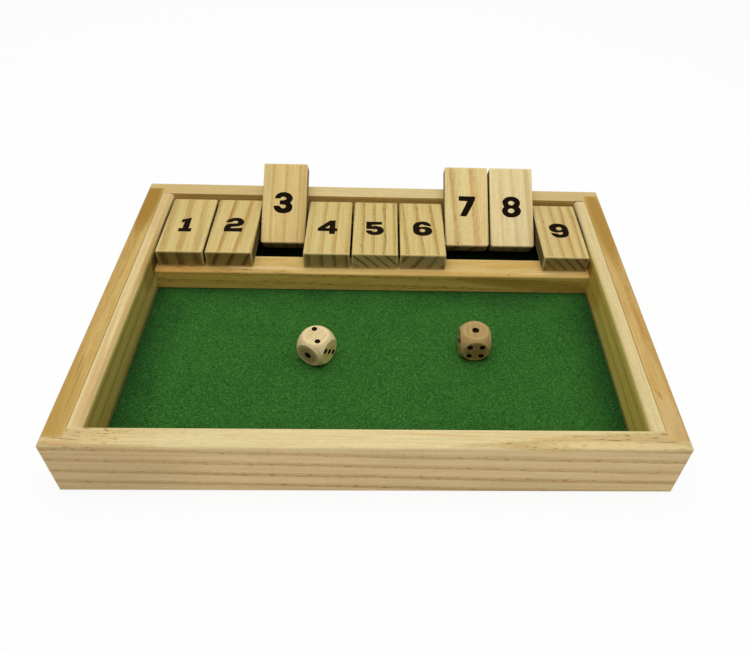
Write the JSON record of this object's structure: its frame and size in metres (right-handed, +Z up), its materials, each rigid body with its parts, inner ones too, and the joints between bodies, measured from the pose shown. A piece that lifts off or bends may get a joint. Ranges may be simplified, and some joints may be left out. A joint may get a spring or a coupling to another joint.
{
  "type": "shut the box game",
  "caption": "Shallow wooden dice tray with a green felt floor, a row of numbered flip tiles hinged on a rod along the back, and loose wooden dice.",
  "frame": {"origin": "centre of the tray's footprint, on the table it stands on", "axes": "+X to the right along the row of tiles, +Y from the open front towards the hinged tiles, +Z up"},
  "size_m": [0.285, 0.1999, 0.053],
  "materials": {
    "end_board_pine": "planed pale pine, lightly sanded, unvarnished",
    "side_board_pine": "planed amber pine, lightly sanded, unvarnished",
    "liner_pine": "planed pale pine with a rounded top edge",
    "rail_pine": "planed amber pine with a rounded front edge",
    "tile_pine": "sanded pine, grain lengthwise, dark end grain, black printed numbers",
    "base_ply": "thin raw plywood",
    "green_felt": "short-nap pressed green felt",
    "rod_steel": "dull drawn steel wire",
    "pale_die_wood": "sanded pale hardwood, black pips",
    "warm_die_wood": "sanded reddish hardwood, black pips",
    "black_ink": "black printing ink of the numbers and black paint in the pips"
  },
  "bodies": {
    "root": {"front_board": "end_board_pine", "back_board": "end_board_pine", "left_board": "side_board_pine", "right_board": "side_board_pine", "base_panel": "base_ply", "felt_bed": "green_felt", "left_liner": "liner_pine", "right_liner": "liner_pine", "rest_rail": "rail_pine", "hinge_rod": "rod_steel"},
    "tile_1": {"tile_1": "tile_pine"},
    "tile_2": {"tile_2": "tile_pine"},
    "tile_3": {"tile_3": "tile_pine"},
    "tile_4": {"tile_4": "tile_pine"},
    "tile_5": {"tile_5": "tile_pine"},
    "tile_6": {"tile_6": "tile_pine"},
    "tile_7": {"tile_7": "tile_pine"},
    "tile_8": {"tile_8": "tile_pine"},
    "tile_9": {"tile_9": "tile_pine"},
    "die_left": {"die_left": "pale_die_wood"},
    "die_right": {"die_right": "warm_die_wood"}
  },
  "joints": [
    {"name": "tile_1_flip", "type": "hinge", "parent": "root", "child": "tile_1", "pos_m": [-0.1112, 0.06865, 0.02851], "axis": [-1, 0, 0], "range_deg": [0, 145.48]},
    {"name": "tile_2_flip", "type": "hinge", "parent": "root", "child": "tile_2", "pos_m": [-0.0834, 0.06865, 0.02851], "axis": [-1, 0, 0], "range_deg": [0, 145.48]},
    {"name": "tile_3_flip", "type": "hinge", "parent": "root", "child": "tile_3", "pos_m": [-0.0556, 0.06865, 0.02851], "axis": [-1, 0, 0], "range_deg": [-145.48, 0]},
    {"name": "tile_4_flip", "type": "hinge", "parent": "root", "child": "tile_4", "pos_m": [-0.0278, 0.06865, 0.02851], "axis": [-1, 0, 0], "range_deg": [0, 145.48]},
    {"name": "tile_5_flip", "type": "hinge", "parent": "root", "child": "tile_5", "pos_m": [0, 0.06865, 0.02851], "axis": [-1, 0, 0], "range_deg": [0, 145.48]},
    {"name": "tile_6_flip", "type": "hinge", "parent": "root", "child": "tile_6", "pos_m": [0.0278, 0.06865, 0.02851], "axis": [-1, 0, 0], "range_deg": [0, 145.48]},
    {"name": "tile_7_flip", "type": "hinge", "parent": "root", "child": "tile_7", "pos_m": [0.0556, 0.06865, 0.02851], "axis": [-1, 0, 0], "range_deg": [-145.48, 0]},
    {"name": "tile_8_flip", "type": "hinge", "parent": "root", "child": "tile_8", "pos_m": [0.0834, 0.06865, 0.02851], "axis": [-1, 0, 0], "range_deg": [-145.48, 0]},
    {"name": "tile_9_flip", "type": "hinge", "parent": "root", "child": "tile_9", "pos_m": [0.1112, 0.06865, 0.02851], "axis": [-1, 0, 0], "range_deg": [0, 145.48]},
    {"name": "die_left_lift", "type": "slide", "parent": "root", "child": "die_left", "axis": [0, 0, 1], "range_m": [0, 0.06]},
    {"name": "die_right_lift", "type": "slide", "parent": "root", "child": "die_right", "axis": [0, 0, 1], "range_m": [0, 0.06]}
  ]
}
